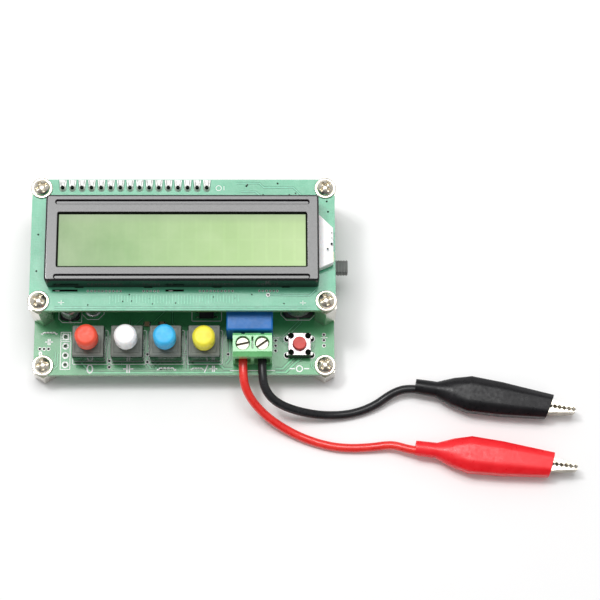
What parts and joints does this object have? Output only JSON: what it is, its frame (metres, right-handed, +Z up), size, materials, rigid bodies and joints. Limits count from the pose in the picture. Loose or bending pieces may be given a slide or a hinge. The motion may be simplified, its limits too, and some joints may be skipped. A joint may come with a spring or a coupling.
{
  "type": "lcr meter",
  "caption": "Bare-board inductance and capacitance meter with a character display on standoffs, push switches, a screw terminal and short clip leads.",
  "frame": {"origin": "centre of the four feet's bolt pattern, on the surface that the feet stand on", "axes": "+X right along the display, +Y back towards the display's header, +Z up"},
  "size_m": [0.1446, 0.0778, 0.0276],
  "materials": {
    "board": "green solder mask over glass-epoxy board",
    "bezel": "black painted steel",
    "lcd_glass": "yellow-green display glass",
    "white_plastic": "satin moulded plastic",
    "zebra_rubber": "conductive silicone rubber",
    "solder": "tin plating and bright solder",
    "black_plastic": "satin moulded plastic",
    "switch_black": "moulded switch body",
    "nickel": "bright nickel plating",
    "bright_steel": "pressed bright steel",
    "spring_steel": "drawn spring wire",
    "red_plastic": "gloss moulded plastic",
    "blue_plastic": "gloss moulded plastic",
    "yellow_plastic": "gloss moulded plastic",
    "green_plastic": "satin moulded plastic",
    "relay_blue": "satin moulded plastic",
    "chip_black": "moulded epoxy",
    "capacitor_can": "satin aluminium can",
    "red_vinyl": "gloss soft vinyl",
    "black_vinyl": "gloss soft vinyl",
    "copper": "tinned copper strands"
  },
  "bodies": {
    "root": {"main_board": "board", "lcd_board": "board", "lcd_bezel": "bezel", "lcd_glass": "lcd_glass", "lcd_backlight": "white_plastic", "lcd_zebra_strips": "zebra_rubber", "header_pins": "solder", "header_strip": "black_plastic", "header_socket": "black_plastic", "lcd_standoffs": "nickel", "foot_standoffs": "nickel", "standoff_nuts": "nickel", "pan_head_screws": "nickel", "function_button_base": "black_plastic", "function_button_cover": "bright_steel", "function_button_dome": "bright_steel", "terminal_housing": "green_plastic", "soldered_terminals": "solder", "power_switch_shell": "bright_steel", "power_switch_base": "black_plastic", "dc_jack_housing": "black_plastic", "relay": "relay_blue", "microcontroller": "chip_black", "crystal": "bright_steel", "electrolytic_capacitors": "capacitor_can", "chip_parts": "chip_black", "red_lead": "red_vinyl", "black_lead": "black_vinyl", "lead_cores": "copper", "red_clip_boot": "red_vinyl", "black_clip_boot": "black_vinyl", "red_clip_fixed_jaw": "nickel", "black_clip_fixed_jaw": "nickel", "red_clip_spring": "spring_steel", "black_clip_spring": "spring_steel", "clip_pivot_pins": "nickel", "zero_switch_housing": "switch_black", "zero_spring": "spring_steel", "high_c_switch_housing": "switch_black", "high_c_spring": "spring_steel", "high_l_switch_housing": "switch_black", "high_l_spring": "spring_steel", "mode_switch_housing": "switch_black", "mode_spring": "spring_steel"},
    "zero_button": {"zero_plunger": "white_plastic", "zero_cap": "red_plastic"},
    "high_c_button": {"high_c_plunger": "white_plastic", "high_c_cap": "white_plastic"},
    "high_l_button": {"high_l_plunger": "white_plastic", "high_l_cap": "blue_plastic"},
    "mode_button": {"mode_plunger": "white_plastic", "mode_cap": "yellow_plastic"},
    "function_button": {"function_button_cap": "red_plastic"},
    "power_slider": {"power_switch_slider": "black_plastic"},
    "red_screw": {"red_terminal_screw": "nickel"},
    "red_clamp": {"red_terminal_clamp": "nickel"},
    "black_screw": {"black_terminal_screw": "nickel"},
    "black_clamp": {"black_terminal_clamp": "nickel"},
    "red_jaw": {"red_clip_moving_jaw": "nickel"},
    "black_jaw": {"black_clip_moving_jaw": "nickel"}
  },
  "joints": [
    {"name": "zero_press", "type": "slide", "parent": "root", "child": "zero_button", "axis": [0, 0, -1], "range_m": [0, 0.0017], "stiffness_N_per_m": 400, "springref_m": -0.001, "deforming": ["zero_spring"]},
    {"name": "high_c_press", "type": "slide", "parent": "root", "child": "high_c_button", "axis": [0, 0, -1], "range_m": [0, 0.0017], "deforming": ["high_c_spring"]},
    {"name": "high_l_press", "type": "slide", "parent": "root", "child": "high_l_button", "axis": [0, 0, -1], "range_m": [0, 0.0017], "deforming": ["high_l_spring"]},
    {"name": "mode_press", "type": "slide", "parent": "root", "child": "mode_button", "axis": [0, 0, -1], "range_m": [-0.0013, 0.0004], "deforming": ["mode_spring"]},
    {"name": "function_press", "type": "slide", "parent": "root", "child": "function_button", "axis": [0, 0, -1], "range_m": [0, 0.00025], "stiffness_N_per_m": 1200, "springref_m": -0.0003, "deforming": ["function_button_dome"]},
    {"name": "power_slide", "type": "slide", "parent": "root", "child": "power_slider", "axis": [0, 1, 0], "range_m": [0, 0.0035]},
    {"name": "red_screw_turn", "type": "hinge", "parent": "root", "child": "red_screw", "pos_m": [0.01566, -0.0188, 0.016], "axis": [0, 0, 1], "range_deg": [0, 720]},
    {"name": "red_clamp_slide", "type": "slide", "parent": "root", "child": "red_clamp", "axis": [0, 0, -1], "range_m": [0, 0.001]},
    {"name": "black_screw_turn", "type": "hinge", "parent": "root", "child": "black_screw", "pos_m": [0.02074, -0.0188, 0.016], "axis": [0, 0, 1], "range_deg": [0, 720]},
    {"name": "black_clamp_slide", "type": "slide", "parent": "root", "child": "black_clamp", "axis": [0, 0, -1], "range_m": [0, 0.001]},
    {"name": "red_jaw_open", "type": "hinge", "parent": "root", "child": "red_jaw", "pos_m": [0.08223, -0.0468, 0.0035], "axis": [0, 0, 1], "range_deg": [0, 20], "stiffness_Nm_per_rad": 0.1, "springref_deg": -28.65, "deforming": ["red_clip_spring", "red_clip_boot"]},
    {"name": "black_jaw_open", "type": "hinge", "parent": "root", "child": "black_jaw", "pos_m": [0.08248, -0.03066, 0.0035], "axis": [0, 0, 1], "range_deg": [0, 20], "stiffness_Nm_per_rad": 0.1, "springref_deg": -28.65, "deforming": ["black_clip_spring", "black_clip_boot"]}
  ],
  "couplings": [
    {"joint": "red_screw_turn", "follows": "red_clamp_slide", "rad_per_m": 12566},
    {"joint": "black_screw_turn", "follows": "black_clamp_slide", "rad_per_m": 12566}
  ]
}
